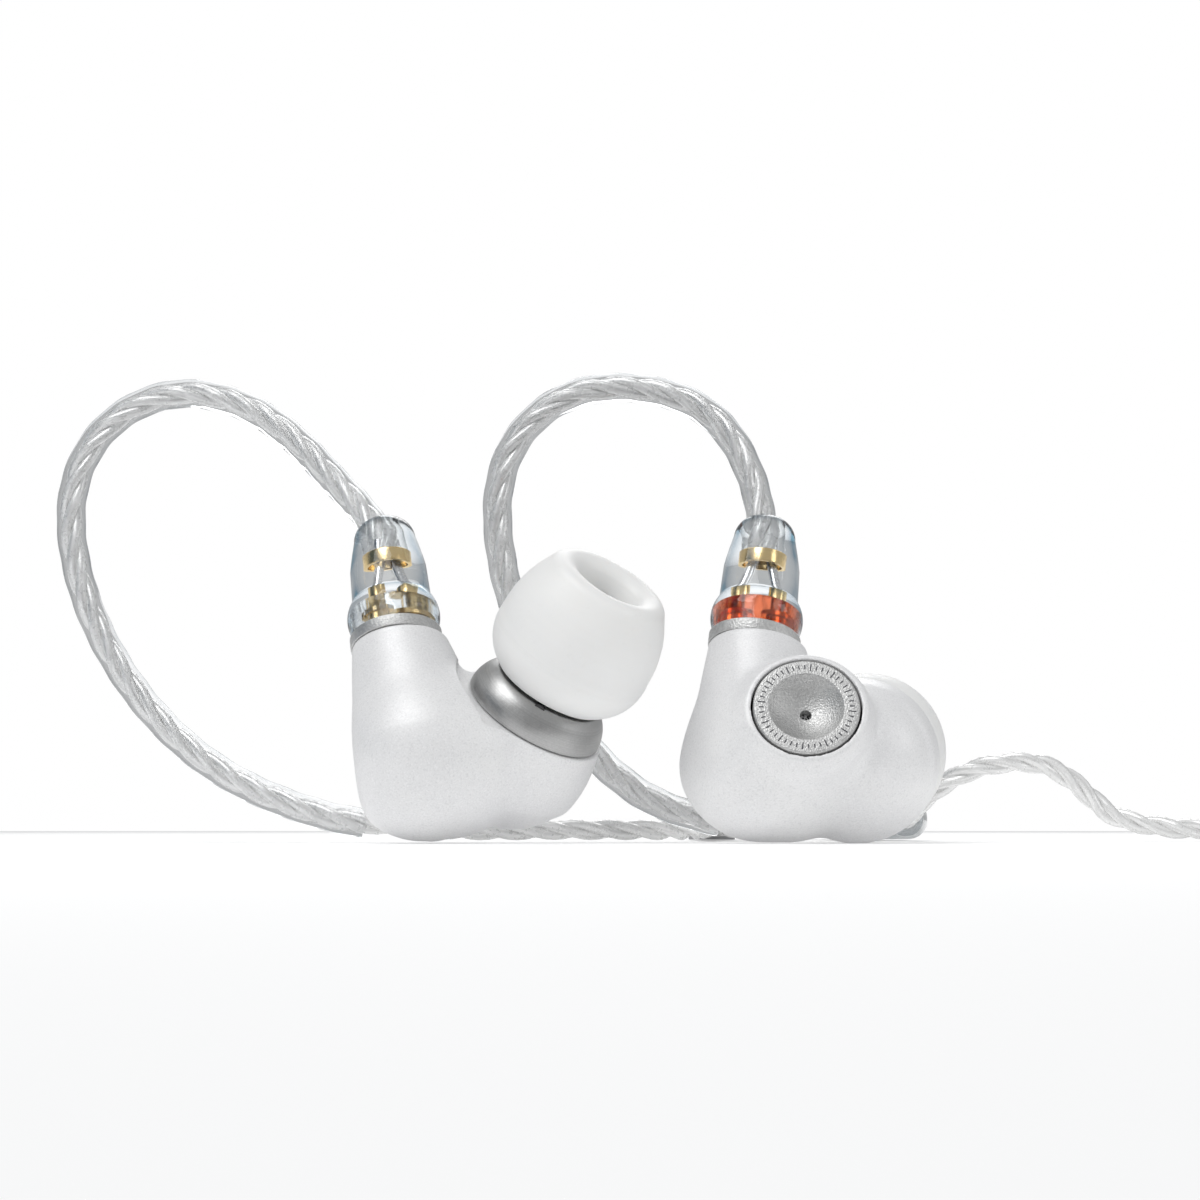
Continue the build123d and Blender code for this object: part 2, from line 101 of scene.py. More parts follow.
FLOOR_HALF_SIDE, FLOOR_FAR_EDGE, FLOOR_Z = 1.6, 0.5, -0.0001
SIDE_FLAG = [(-0.22, -0.20, 0.0), (-0.22, 0.12, 0.0), (-0.22, 0.12, 0.16), (-0.22, -0.20, 0.16)]
FRONT_FLAG = [(-0.10, -0.45, 0.0004), (0.30, -0.45, 0.0004), (0.16, -0.04, 0.0004), (-0.02, -0.04, 0.0004)]
LIT = (0, 0, 0.012)


def studio():
    """The floor, its two dark cards, a world that is white to the camera, and three soft lights."""
    mesh = bpy.data.meshes.new("floor")
    side, far, z = FLOOR_HALF_SIDE, FLOOR_FAR_EDGE, FLOOR_Z
    corners = [(-side, -side, z), (side, -side, z), (side, far, z), (-side, far, z)]
    mesh.from_pydata(corners, [], [(0, 1, 2, 3)])
    floor = bpy.data.objects.new("floor", mesh)
    bpy.context.scene.collection.objects.link(floor)
    made = bpy.data.materials.new("floor_paper")
    made.use_nodes = True
    shader = made.node_tree.nodes["Principled BSDF"]
    shader.inputs["Base Color"].default_value = (0.93, 0.93, 0.93, 1)
    shader.inputs["Roughness"].default_value = 0.9
    shader.inputs["Specular IOR Level"].default_value = 0.1
    shader.inputs["Emission Color"].default_value = (1, 1, 1, 1)
    shader.inputs["Emission Strength"].default_value = 0.18
    mesh.materials.append(made)
    flag("side_flag", SIDE_FLAG, (0.012, 0.05, 0.09))
    flag("front_flag", FRONT_FLAG, (0.01, 0.01, 0.012))
    world = bpy.data.worlds.new("studio")
    world.use_nodes = True
    tree = world.node_tree
    soft = tree.nodes["Background"]
    soft.inputs[0].default_value = (0.98, 0.99, 1.0, 1)
    soft.inputs[1].default_value = 0.47
    seen = tree.nodes.new("ShaderNodeBackground")
    seen.inputs[1].default_value = 1.0
    seen.inputs[0].default_value = (1.0, 1.0, 1.0, 1)
    choice = tree.nodes.new("ShaderNodeMixShader")
    tree.links.new(tree.nodes.new("ShaderNodeLightPath").outputs["Is Camera Ray"], choice.inputs[0])
    tree.links.new(soft.outputs[0], choice.inputs[1])
    tree.links.new(seen.outputs[0], choice.inputs[2])
    tree.links.new(choice.outputs[0], tree.nodes["World Output"].inputs[0])
    bpy.context.scene.world = world
    bpy.context.scene.view_settings.view_transform = "Standard"
    area("key", (-0.12, -0.14, 0.32), LIT, 0.22, 0.56)
    area("side", (0.30, -0.10, 0.14), LIT, 0.12, 0.10)
    area("back", (0.02, 0.30, 0.26), LIT, 0.20, 0.35)


# ---------------------------------------------------------------- materials
class Look:
    """A procedural material: a Principled shader and the nodes that feed it."""

    def __init__(self, name, colour, roughness, metallic=0.0, **values):
        self.material = bpy.data.materials.new(name)
        self.material.use_nodes = True
        self.tree = self.material.node_tree
        self.shader = self.tree.nodes["Principled BSDF"]
        self.set("Base Color", (*colour, 1))
        self.set("Roughness", roughness)
        self.set("Metallic", metallic)
        for key, value in values.items():
            self.set(key.replace("_", " "), value)
        self.coordinates = self.tree.nodes.new("ShaderNodeTexCoord").outputs["Object"]
        self.height = None

    def set(self, key, value):
        self.shader.inputs[key].default_value = value

    def node(self, kind, inputs=(), **settings):
        made = self.tree.nodes.new(kind)
        for key, value in settings.items():
            setattr(made, key, value)
        for key, value in dict(inputs).items():
            if isinstance(value, bpy.types.NodeSocket):
                self.tree.links.new(value, made.inputs[key])
            else:
                made.inputs[key].default_value = value
        return made

    def grid(self, per_mm):
        """Coordinates that grow by one for each grain."""
        scaled = {"Vector": self.coordinates, "Scale": (per_mm * 1000,) * 3}
        return self.node("ShaderNodeMapping", scaled).outputs[0]

    def noise(self, per_mm, detail=3.0):
        """Noise with that many grains to the millimetre."""
        inputs = {"Vector": self.grid(per_mm), "Scale": 1.0, "Detail": detail, "Roughness": 0.55}
        return self.node("ShaderNodeTexNoise", inputs).outputs["Fac"]

    def grains(self, per_mm):
        """Distance to the middle of the nearest of that many cells to the millimetre."""
        cells = {"Vector": self.grid(per_mm), "Scale": 1.0}
        return self.node("ShaderNodeTexVoronoi", cells).outputs["Distance"]

    def attribute(self, name):
        return self.node("ShaderNodeAttribute", attribute_name=name).outputs["Fac"]

    def math(self, operation, a, b=0.0):
        made = self.node("ShaderNodeMath", {0: a, 1: b}, operation=operation)
        return made.outputs[0]

    def between(self, value, low, high, to_low, to_high):
        return self.node("ShaderNodeMapRange", {0: value, 1: low, 2: high, 3: to_low, 4: to_high}).outputs[0]

    def mix(self, factor, a, b):
        made = self.node("ShaderNodeMix", {0: factor}, data_type="RGBA")
        for slot, value in ((6, a), (7, b)):
            if isinstance(value, bpy.types.NodeSocket):
                self.tree.links.new(value, made.inputs[slot])
            else:
                made.inputs[slot].default_value = (*value, 1)
        return made.outputs[2]

    def paint(self, colour):
        self.tree.links.new(colour, self.shader.inputs["Base Color"])
        return self

    def rough(self, value):
        self.tree.links.new(value, self.shader.inputs["Roughness"])
        return self

    def bump(self, height, depth_mm, strength=1.0):
        """Relief of that depth in millimetres, on top of any made before."""
        inputs = {"Height": height, "Distance": depth_mm * MM, "Strength": strength}
        if self.height is not None:
            inputs["Normal"] = self.height
        self.height = self.node("ShaderNodeBump", inputs).outputs[0]
        self.tree.links.new(self.height, self.shader.inputs["Normal"])
        return self


def pearl_shell():
    coat = {"Coat_Weight": 0.10, "Coat_Roughness": 0.34}
    look = Look("pearl_shell", (0.84, 0.84, 0.85), 0.46, 0.12, **coat, IOR=1.5)
    cloud = look.noise(0.12, 4)
    speck = look.between(look.noise(8.0, 2), 0.50, 0.70, 0.0, 1.0)
    dull = look.between(look.noise(6.0, 2), 0.30, 0.48, 1.0, 0.0)
    body = look.mix(look.between(cloud, 0.3, 0.7, 0, 1), (0.79, 0.79, 0.80), (0.85, 0.85, 0.85))
    body = look.mix(look.math("MULTIPLY", dull, 0.5), body, (0.66, 0.66, 0.67))
    look.paint(look.mix(look.math("MULTIPLY", speck, 0.5), body, (0.96, 0.96, 0.97)))
    look.rough(look.between(look.noise(5.0, 3), 0.3, 0.7, 0.38, 0.54))
    return look.bump(look.noise(6.5, 3), 0.014).bump(look.noise(0.5, 2), 0.02, 0.25).material


def bead_blasted():
    look = Look("bead_blasted_metal", (0.60, 0.60, 0.61), 0.5, 1.0)
    look.paint(look.mix(look.noise(5.0, 3), (0.42, 0.42, 0.42), (0.80, 0.80, 0.79)))
    look.rough(look.between(look.noise(6.0, 2), 0.3, 0.7, 0.42, 0.6))
    return look.bump(look.grains(7.0), 0.03).bump(look.noise(9.0, 2), 0.015).material


def polished_ring():
    look = Look("spun_metal", (0.62, 0.62, 0.63), 0.34, 1.0)
    turn = look.attribute("ring_mm")
    inputs = {"W": look.math("MULTIPLY", turn, 22.0), "Scale": 1.0, "Detail": 3.0}
    grooves = look.node("ShaderNodeTexNoise", inputs, noise_dimensions="1D").outputs["Fac"]
    grit = look.noise(7.0, 3)
    look.paint(look.mix(look.math("MULTIPLY", grooves, grit), (0.36, 0.36, 0.36), (0.74, 0.74, 0.73)))
    look.rough(look.between(grit, 0.3, 0.7, 0.32, 0.48))
    return look.bump(grooves, 0.004).bump(grit, 0.008).material


def silicone():
    soft = {"Subsurface_Weight": 0.35, "Subsurface_Scale": 0.0012}
    sheen = {"Sheen_Weight": 0.15, "Sheen_Roughness": 0.4}
    look = Look("white_silicone", (0.87, 0.87, 0.86), 0.42, **soft, **sheen)
    look.set("Subsurface Radius", (1.0, 0.95, 0.9))
    dust = look.between(look.noise(2.2, 5), 0.60, 0.78, 0.0, 0.25)
    look.paint(look.mix(dust, (0.87, 0.87, 0.86), (0.76, 0.75, 0.74)))
    look.rough(look.between(look.noise(1.5, 4), 0.3, 0.7, 0.34, 0.52))
    return look.bump(look.noise(4.0, 3), 0.008).bump(look.noise(0.35, 2), 0.05, 0.4).material


def clear_resin(name, colour, ior=1.46, roughness=0.02, edge_shade_strength=1.0, edge_shade_tint=(0.03, 0.15, 0.26)):
    clear = {"Transmission_Weight": 1.0, "IOR": ior, "Coat_Weight": 0.2, "Coat_Roughness": 0.03}
    look = Look(name, colour, roughness, **clear)
    # Towards the grazing edges the base colour is painted darker and coloured, unevenly in patches: painted
    # edge shade.
    facing = look.node("ShaderNodeLayerWeight", {"Blend": 0.5}).outputs["Facing"]
    edge = look.between(facing, 0.34, 0.62, 0.0, edge_shade_strength)
    patches = look.between(look.noise(0.22, 2), 0.38, 0.60, 0.35, 1.0)
    shaded_edge_colour = tuple(c * k for c, k in zip(colour, edge_shade_tint))
    look.paint(look.mix(look.math("MULTIPLY", edge, patches), colour, shaded_edge_colour))
    look.rough(look.between(look.noise(1.2, 3), 0.35, 0.7, roughness, roughness + 0.06))
    return look.bump(look.noise(0.45, 2), 0.05, 0.5).material


def strand_wire():
    look = Look("bare_cable", (0.86, 0.86, 0.85), 0.30, 0.25, Coat_Weight=0.6, Coat_Roughness=0.10)
    along, around = look.attribute("along_mm"), look.attribute("around")
    twist = look.math("ADD", look.math("MULTIPLY", along, 0.55), look.math("MULTIPLY", around, 5.0))
    lines = look.math("SINE", look.math("MULTIPLY", twist, 2 * math.pi))
    # The troughs between the fine wires are painted darker, with random tone from noise on top: painted
    # shade in the grooves.
    groove = look.between(lines, -1.0, 0.2, 0.0, 1.0)
    shade = look.math("MULTIPLY", groove, look.between(look.noise(1.1, 3), 0.3, 0.6, 0.75, 1.0))
    look.paint(look.mix(shade, (0.74, 0.74, 0.735), (0.91, 0.91, 0.905)))
    look.rough(look.between(look.noise(2.0, 3), 0.3, 0.7, 0.22, 0.38))
    return look.bump(lines, 0.006, 0.6).material


def plain(name, low, high, roughness, metallic=0.0, grain=6.0, depth=0.006, **values):
    """A moulded, plated or drawn finish: two close tones, uneven gloss and a fine relief."""
    look = Look(name, low, roughness, metallic, **values)
    look.paint(look.mix(look.noise(grain * 0.3, 4), low, high))
    look.rough(look.between(look.noise(grain, 3), 0.3, 0.7, roughness * 0.8, min(1.0, roughness * 1.25)))
    return look.bump(look.noise(grain, 3), depth).material


def perforated():
    look = Look("steel_mesh", (0.5, 0.5, 0.5), 0.35, 1.0)
    # The perforations are not cut: they are painted near black, painted shade of the space behind the mesh.
    hole_shade_mask = look.between(look.grains(5.0), 0.28, 0.42, 0.0, 1.0)
    look.paint(look.mix(hole_shade_mask, (0.02, 0.02, 0.02), (0.62, 0.62, 0.63)))
    return look.bump(hole_shade_mask, 0.05).material


LOOKS = {
    "pearl_shell": pearl_shell(),
    "bead_blasted_metal": bead_blasted(),
    "spun_metal": polished_ring(),
    "steel_mesh": perforated(),
    "black_plastic": plain("black_plastic", (0.012, 0.012, 0.013), (0.03, 0.03, 0.032), 0.4),
    "gold_plate": plain("gold_plate", (0.78, 0.56, 0.26), (0.90, 0.70, 0.38), 0.2, 1.0),
    "white_silicone": silicone(),
    "driver_metal": plain("driver_metal", (0.45, 0.45, 0.46), (0.60, 0.60, 0.61), 0.35, 1.0),
    "magnet_dark": plain("magnet_dark", (0.07, 0.07, 0.08), (0.13, 0.13, 0.14), 0.45, 0.8),
    "film": plain("film", (0.55, 0.52, 0.42), (0.70, 0.67, 0.56), 0.3, Coat_Weight=0.4),
    "copper": plain("copper", (0.72, 0.36, 0.20), (0.86, 0.48, 0.30), 0.25, 1.0),
    # The clear materials below get painted edge shade from clear_resin: darker, coloured grazing edges.
    "clear_plastic": clear_resin("clear_plastic", (0.95, 0.98, 0.995), 1.36),
    "red_insert": clear_resin("red_insert", (1.0, 0.24, 0.10), 1.40, 0.10, 0.2),
    "clear_insert": clear_resin("clear_insert", (0.93, 0.96, 0.98), 1.40, 0.05, 0.2),
    "sleeved_cable": clear_resin(
        "sleeved_cable", (0.96, 0.965, 0.97), 1.10, 0.03, 0.8, (0.52, 0.55, 0.56)),
    "bare_cable": strand_wire(),
    "clear_fitting": plain(
        "clear_fitting", (0.75, 0.78, 0.80), (0.85, 0.87, 0.88), 0.12, Transmission_Weight=0.75, IOR=1.46),
    "silver_fitting": plain("silver_fitting", (0.66, 0.66, 0.67), (0.80, 0.80, 0.81), 0.24, 1.0),
    "hook_strap": plain(
        "hook_strap", (0.30, 0.30, 0.31), (0.42, 0.42, 0.43), 0.85, grain=4.0, depth=0.06),
    "insulator": plain("insulator", (0.02, 0.02, 0.022), (0.05, 0.05, 0.055), 0.35),
}


# ---------------------------------------------------------------- working planes
class Axes:
    """A right-handed set of axes in the row frame; its numbers are in millimetres."""

    def __init__(self, origin, x_dir, z_dir):
        self.origin = np.asarray(origin, float)
        z = np.asarray(z_dir, float)
        z = z / np.linalg.norm(z)
        x = np.asarray(x_dir, float)
        x = x - z * (x @ z)
        x = x / np.linalg.norm(x)
        self.x, self.y, self.z = x, np.cross(z, x), z

    def out(self, local):
        """Millimetres along the axes as row-frame metres."""
        local = np.asarray(local, float)
        offset = local[..., :1] * self.x + local[..., 1:2] * self.y + local[..., 2:] * self.z
        return self.origin + offset * MM


NOZZLE_SEAT, NOZZLE_WAY = (5.03, -8.58, -7.60), (0.878, 0.0, 0.479)
VENT_SEAT, VENT_WAY = (-6.63, -5.18, -8.82), (-0.990, -0.103, 0.092)


class Ear:
    def __init__(self, side, hand, seat, x_dir, z_dir):
        self.side, self.hand = side, hand
        self.stem = Axes(placed(seat), x_dir, z_dir)
        self.nozzle = self.axes_at(NOZZLE_SEAT, NOZZLE_WAY)
        self.vent = self.axes_at(VENT_SEAT, VENT_WAY)

    def out(self, points):
        return self.stem.out(np.asarray(points, float) * (1, self.hand, 1))

    def axes_at(self, origin, way):
        start = self.out(origin)
        normal = self.out(way) - self.stem.origin
        across = self.out((0, 1, 0)) - self.stem.origin
        return Axes(start, np.cross(across, normal), normal)


EARS = (
    Ear("left", -1, (-15.9, 2.6, 15.974), (0.6174, -0.6654, 0.4196), (-0.1299, 0.4398, 0.8886)),
    Ear("right", 1, (12.1, 3.6, 15.902), (0.1125, 0.9111, -0.3965), (0.11, 0.3851, 0.9163)),
)


# ---------------------------------------------------------------- mesh helpers
def piece(name, points, faces, slot, sharp=35.0, attributes=()):
    mesh = bpy.data.meshes.new(name)
    mesh.from_pydata([tuple(p) for p in points], [], faces)
    mesh.validate()
    mesh.polygons.foreach_set("use_smooth", [True] * len(mesh.polygons))
    mesh.set_sharp_from_angle(angle=math.radians(sharp))
    for key, values in dict(attributes).items():
        mesh.attributes.new(key, "FLOAT", "POINT").data.foreach_set("value", np.asarray(values, np.float32))
    mesh.materials.append(LOOKS[slot])
    obj = bpy.data.objects.new(name, mesh)
    bpy.context.scene.collection.objects.link(obj)
    return obj


def arc(start, middle, end, steps=10):
    """Points on the circle through three (r, z) points, the ends included."""
    (ax, ay), (bx, by), (cx, cy) = start, middle, end
    d = 2 * (ax * (by - cy) + bx * (cy - ay) + cx * (ay - by))
    a2, b2, c2 = ax * ax + ay * ay, bx * bx + by * by, cx * cx + cy * cy
    ux = (a2 * (by - cy) + b2 * (cy - ay) + c2 * (ay - by)) / d
    uy = (a2 * (cx - bx) + b2 * (ax - cx) + c2 * (bx - ax)) / d
    first, mid, last = (math.atan2(p[1] - uy, p[0] - ux) for p in (start, middle, end))
    mid, last = ((v - first) % (2 * math.pi) for v in (mid, last))
    if mid > last:
        last -= 2 * math.pi
    radius = math.hypot(ax - ux, ay - uy)
    angles = [first + last * i / steps for i in range(steps + 1)]
    return [(ux + radius * math.cos(a), uy + radius * math.sin(a)) for a in angles]


def softened(outline, radius=0.12):
    """The same outline with its hard corners eased by a small round."""
    result = [outline[0]]
    for before, here, after in zip(outline, outline[1:], outline[2:]):
        b, h, a = (np.array(v, float) for v in (before, here, after))
        to_b, to_a = b - h, a - h
        lb, la = np.linalg.norm(to_b), np.linalg.norm(to_a)
        if lb < 1e-9 or la < 1e-9:
            continue
        turn = math.acos(max(-1.0, min(1.0, float(-(to_b @ to_a) / (lb * la)))))
        if turn < math.radians(20):
            result.append(tuple(h))
            continue
        cut = min(radius, 0.4 * lb, 0.4 * la)
        p, q = h + to_b / lb * cut, h + to_a / la * cut
        for i in range(5):
            t = i / 4
            result.append(tuple((1 - t) ** 2 * p + 2 * t * (1 - t) * h + t * t * q))
    result.append(outline[-1])
    return result


def turned(name, outline, axes, slot, segments=160, sharp=35.0, wobble=None):
    """A lathed piece; an outline that starts and ends on the axis, or closes on itself."""
    closed = outline[0] == outline[-1]
    ring = outline[:-1] if closed else outline
    angles = np.linspace(0, 2 * np.pi, segments, endpoint=False)
    points, index, radii = [], [], []
    for r, z in ring:
        if r < 1e-6:
            index.append([len(points)] * segments)
            points.append((0.0, 0.0, z))
            radii.append(0.0)
            continue
        index.append(list(range(len(points), len(points) + segments)))
        for angle in angles:
            grown = r + (wobble(r, z, angle) if wobble else 0.0)
            points.append((grown * math.cos(angle), grown * math.sin(angle), z))
            radii.append(r + z)
    faces = []
    for i in range(len(index) if closed else len(index) - 1):
        low, high = index[i], index[(i + 1) % len(index)]
        for k in range(segments):
            n = (k + 1) % segments
            face = list(dict.fromkeys((low[k], low[n], high[n], high[k])))
            if len(face) > 2:
                faces.append(face)
    return piece(name, axes.out(points), faces, slot, sharp, {"ring_mm": radii})


# ---------------------------------------------------------------- shells
def smooth_low(a, b, k):
    h = np.clip(0.5 + 0.5 * (b - a) / k, 0, 1)
    return b + (a - b) * h - k * h * (1 - h)


def smooth_high(a, b, k):
    return -smooth_low(-a, -b, k)


WALL = 0.8


def shell_surface(step=0.12):
    """The hollow shell as points and faces in the ear's own millimetres; faces turn outwards."""
    low = np.array([-8.4, -16.2, -18.4])
    count = np.ceil((np.array([9.6, 6.0, 0.4]) - low) / step).astype(int)
    x, y, z = (low[i] + step * np.arange(count[i], dtype=np.float32) for i in range(3))
    p = np.stack(np.meshgrid(x, y, z, indexing="ij"), -1).astype(np.float32)

    def ball(centre, radius):
        return np.linalg.norm(p - np.array(centre, np.float32), axis=-1) - radius

    def taper(a, b, ra, rb):
        a, b = np.array(a, np.float32), np.array(b, np.float32)
        t = np.clip(((p - a) @ (b - a)) / ((b - a) @ (b - a)), 0, 1)
        return np.linalg.norm(p - a - t[..., None] * (b - a), axis=-1) - (ra + (rb - ra) * t)

    def along(seat, way):
        way = np.array(way, np.float32) / np.linalg.norm(way)
        t = (p - np.array(seat, np.float32)) @ way
        r = np.linalg.norm(p - np.array(seat, np.float32) - t[..., None] * way, axis=-1)
        return t, r

    outer, inner = (-0.16, -1.39, -10.51), (2.12, -8.56, -9.03)
    belly = (0.5, -3.4, -10.1)
    body = smooth_low(taper(outer, belly, 6.2, 6.28), ball(inner, 6.3), 0.6)
    body = smooth_low(body, taper(outer, inner, 5.35, 5.35), 0.8)
    body = smooth_low(body, taper((0, 0, 0.5), (-0.16, -1.39, -9.9), 3.42, 5.9), 1.4)
    plate = (p - np.array(outer, np.float32)) @ np.array((-0.622, 0.783, 0.0), np.float32)
    body = smooth_high(body, plate - 5.25, 1.2)
    t, r = along(NOZZLE_SEAT, NOZZLE_WAY)
    body = smooth_low(body, smooth_high(r - 5.62, -t - 5.0, 0.6), 1.3)
    body = np.maximum(body, np.where(r < 7.2, t, -10))
    t, r = along(VENT_SEAT, VENT_WAY)
    boss = np.where(t > -1.2, r - (5.15 + (t + 1.2) * (4.6 - 5.15) / 1.15), r - 5.15)
    body = smooth_low(body, smooth_high(boss, -t - 5.0, 0.6), 1.0)
    body = smooth_high(body, t + 0.05, 0.25)
    inside = body + WALL
    body = smooth_high(body, p[..., 2] + 1.0, 0.12)
    body = np.maximum(body, -smooth_high(inside, p[..., 2] + 1.8, 0.2))
    body = np.maximum(body, -np.maximum(np.hypot(p[..., 0], p[..., 1]) - 2.6, -p[..., 2] - 3.0))
    body = np.maximum(body, -np.maximum(r - 4.2, -t - 2.0))
    t, r = along(NOZZLE_SEAT, NOZZLE_WAY)
    body = np.maximum(body, -np.maximum(r - 4.4, -t - 1.2))
    grid = openvdb.FloatGrid(background=3.0)
    grid.copyFromArray(np.clip(body, -3, 3).astype(np.float32))
    points, triangles, quads = grid.convertToPolygons(isovalue=0.0, adaptivity=0.0)
    faces = [tuple(int(i) for i in q) for q in quads] + [tuple(int(i) for i in q) for q in triangles]
    return low + points * step, faces


def shells():
    points, faces = shell_surface()
    for ear in EARS:
        outward = [f[::-1] for f in faces] if ear.hand < 0 else faces
        obj = piece(f"{ear.side}_pearl_shell", ear.out(points), outward, "pearl_shell", sharp=50.0)
        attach(obj, "root")
        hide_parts(f"{ear.side}_shell")


# ---------------------------------------------------------------- turned parts of each ear
def collar(ear):
    ring = [(2.65, -0.98), (3.58, -0.98), (3.60, -0.9), (3.60, -0.06), (3.54, 0.0)]
    ring += [(2.65, 0.0), (2.65, -0.98)]
    outline = softened(ring, 0.03)
    obj = turned(f"{ear.side}_collar", outline, ear.stem, "bead_blasted_metal")
    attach(obj, "root")
    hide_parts(f"{ear.side}_collar_ring")


def nozzle(ear):
    ring = [(2.0, -0.9), (4.3, -0.9), (4.3, 0.02), (5.48, 0.02), (5.6, 0.12)]
    ring += arc((5.6, 0.3), (5.22, 1.65), (4.4, 2.6), 14)
    ring += [(2.6, 2.9), (2.6, 5.9), (2.85, 6.0), (2.85, 6.4), (2.5, 7.0), (2.0, 7.0), (2.0, -0.9)]
    outline = softened(ring, 0.08)
    obj = turned(f"{ear.side}_nozzle_metal", outline, ear.nozzle, "spun_metal", sharp=30)
    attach(obj, "root")
    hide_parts(f"{ear.side}_nozzle")
    # The vent hole is not cut into the metal: a dark block stands where it is, painted shade of the hole.
    turn, corners = math.radians(143), []
    for z, grow in ((1.2, 0.0), (2.62, 0.0), (2.75, -0.06)):
        for a, r in ((-0.09 - grow, 3.9), (0.09 + grow, 3.9), (0.09 + grow, 4.56), (-0.09 - grow, 4.56)):
            corners.append((r * math.cos(turn + a), r * math.sin(turn + a), z))
    faces = [(0, 1, 2, 3), (11, 10, 9, 8)]
    faces += [(b + k, b + 4 + k, b + 4 + (k + 1) % 4, b + (k + 1) % 4) for b in (0, 4) for k in range(4)]
    hole_shade_block = piece(f"{ear.side}_nozzle_hole_shade", ear.nozzle.out(corners), faces, "black_plastic", sharp=20)
    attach(hole_shade_block, "root")


def tip(ear):
    outside = [(4.15, 2.95), (4.35, 2.86), (4.6, 2.95)] + arc((4.6, 2.98), (5.85, 4.3), (6.35, 6.9), 14)
    outside += [(6.33, 7.6), (6.26, 8.4), (6.10, 9.2), (5.88, 10.0), (5.60, 10.7)]
    outside += [(5.35, 11.2), (5.08, 11.72)]
    outside += arc((4.9, 12.05), (4.35, 12.66), (3.6, 12.75), 10)
    mouth = [
        (3.2, 12.62), (2.9, 12.4), (2.65, 12.1), (2.42, 11.6), (2.28, 11.2), (2.2, 10.9), (2.2, 7.3),
        (2.9, 7.0), (2.9, 3.6), (3.3, 3.3),
    ]
    sleeve = [
        (3.55, 3.7), (3.55, 9.2), (3.8, 9.7), (4.3, 9.8), (4.8, 9.5), (5.2, 9.0), (5.5, 8.2),
        (5.72, 7.4), (5.75, 6.9), (5.7, 6.2), (5.5, 5.3), (5.3, 4.7), (4.8, 3.7), (4.15, 2.95),
    ]
    outline = softened(outside + mouth + sleeve, 0.1)

    def parting(r, z, angle):
        line = -0.07 * math.exp(-((z - 6.05) / 0.08) ** 2) if r > 5.9 else 0.0
        return line + 0.035 * math.sin(2 * angle + 0.7) * (z / 12.0) * (r / 6.0)

    dense = [outline[0]]
    for a, b in zip(outline, outline[1:]):
        steps = max(1, int(math.hypot(b[0] - a[0], b[1] - a[1]) / 0.12))
        for i in range(1, steps + 1):
            dense.append((a[0] + (b[0] - a[0]) * i / steps, a[1] + (b[1] - a[1]) * i / steps))
    dense[-1] = dense[0]
    obj = turned(f"{ear.side}_silicone_tip", dense, ear.nozzle, "white_silicone", sharp=60, wobble=parting)
    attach(obj, f"{ear.side}_tip")
    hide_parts(f"{ear.side}_ear_tip")


BOX_FACES = ((7, 5, 3, 1), (2, 4, 6, 0), (1, 3, 2, 0), (3, 5, 4, 2), (5, 7, 6, 4), (7, 1, 0, 6))
TICKS, TICK_R, TICK_HALF_ANGLE = 48, 3.42, 0.014


def medallion(ear):
    ring = [(0.42, -1.9), (3.95, -1.9), (4.04, -1.8), (4.04, -0.1), (3.94, 0.05), (2.85, 0.05)]
    ring += arc((2.85, 0.05), (1.85, -0.78), (0.42, -1.3), 16)[1:] + [(0.42, -1.9)]
    outline = softened(ring, 0.07)
    obj = turned(f"{ear.side}_vent_dish", outline, ear.vent, "bead_blasted_metal", sharp=30)
    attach(obj, "root")
    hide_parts(f"{ear.side}_medallion")
    marks, faces = [], []
    for k in range(TICKS):
        turn = 2 * math.pi * k / TICKS
        half = 0.30 if k % 4 == 0 else 0.18
        low, high, wide = TICK_R - half, TICK_R + half, TICK_HALF_ANGLE
        for a, r in ((-wide, low), (wide, low), (wide, high), (-wide, high)):
            for z in (0.035, 0.062):
                marks.append((r * math.cos(turn + a), r * math.sin(turn + a), z))
        b = 8 * k
        faces += [tuple(b + i for i in face) for face in BOX_FACES]
    ticks = piece(f"{ear.side}_dish_ticks", ear.vent.out(marks), faces, "magnet_dark")
    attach(ticks, "root")


def plug(ear):
    outline = [(0.0, 0.03), (3.22, 0.03), (3.34, 0.14)]
    outline += arc((3.42, 0.5), (3.62, 1.75), (3.22, 2.95), 16)
    outline += [(3.14, 3.06), (3.10, 3.2), (3.07, 4.0), (3.04, 5.0), (3.0, 6.0)]
    outline += [(2.90, 6.6), (2.72, 7.5), (2.56, 8.2), (2.45, 8.7)]
    outline += arc((2.45, 8.7), (2.1, 9.7), (1.2, 10.35), 12)[1:] + [(0.6, 10.4), (0.0, 10.4)]
    obj = turned(f"{ear.side}_plug_resin", outline, ear.stem, "clear_plastic", sharp=50)
    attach(obj, f"{ear.side}_plug")
    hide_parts(f"{ear.side}_plug_body")
    band = softened([(1.08, 5.9), (1.3, 5.9), (1.3, 7.0), (1.08, 7.0), (1.08, 5.9)], 0.04)
    crimp = turned(f"{ear.side}_crimp_band", band, ear.stem, "gold_plate", segments=64)
    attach(crimp, f"{ear.side}_plug")
    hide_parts(f"{ear.side}_crimp_ring")


